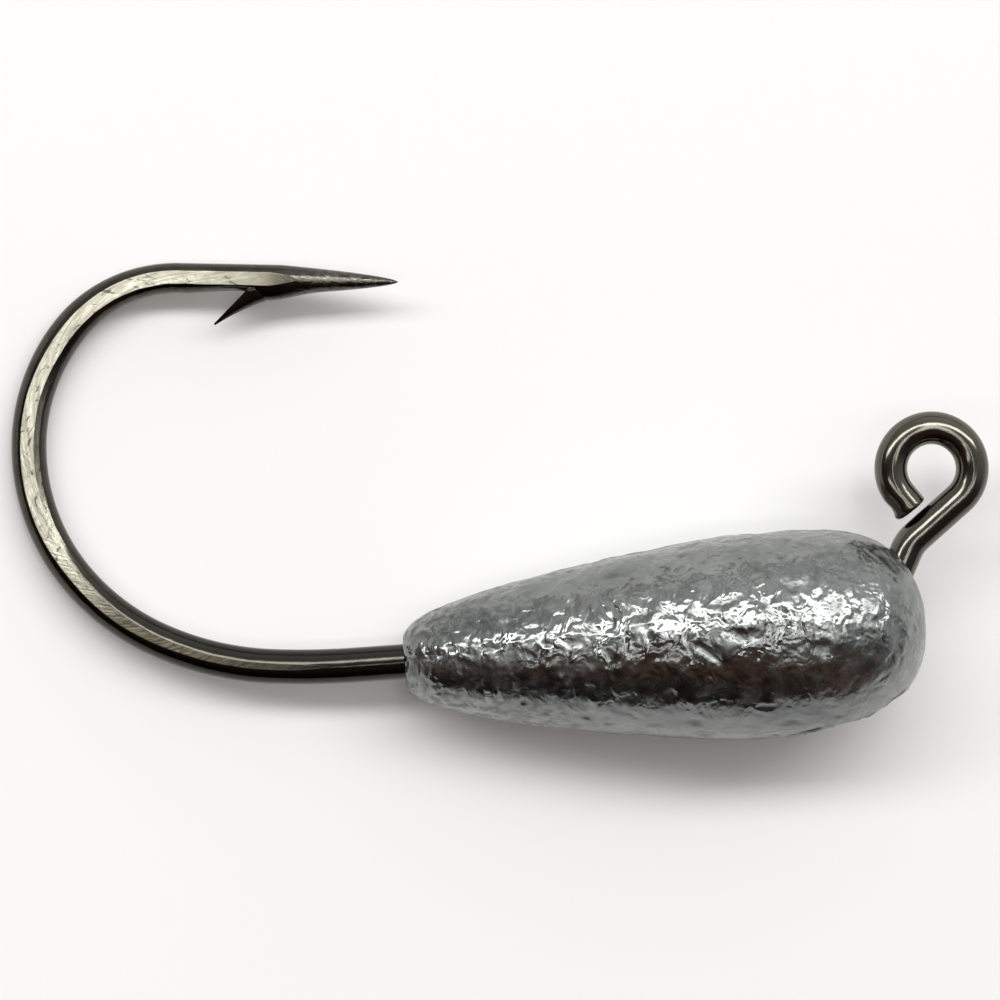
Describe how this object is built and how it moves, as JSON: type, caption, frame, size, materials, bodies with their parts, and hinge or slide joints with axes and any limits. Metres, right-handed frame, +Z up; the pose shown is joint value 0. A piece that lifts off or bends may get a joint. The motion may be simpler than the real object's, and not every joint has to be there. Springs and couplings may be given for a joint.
{
  "type": "jig head",
  "caption": "Bullet-shaped lead jig head cast on a forged 60 degree jig hook with a barbed needle point and a closed line eye.",
  "frame": {"origin": "middle of the footprint of the part lying on its side at rest, on the surface it lies on", "axes": "+X towards the nose of the lead along the shank's plan direction, +Y towards the hook point and the line eye, +Z up from the surface it lies on; the shank itself rises 6.5 degrees towards the nose and the hook's plane rolls 1.5 degrees"},
  "size_m": [0.0372, 0.0198, 0.0082],
  "materials": {
    "black_nickel": "gloss",
    "cast_lead": "satin"
  },
  "bodies": {
    "root": {"hook": "black_nickel", "lead_head": "cast_lead"}
  },
  "joints": []
}
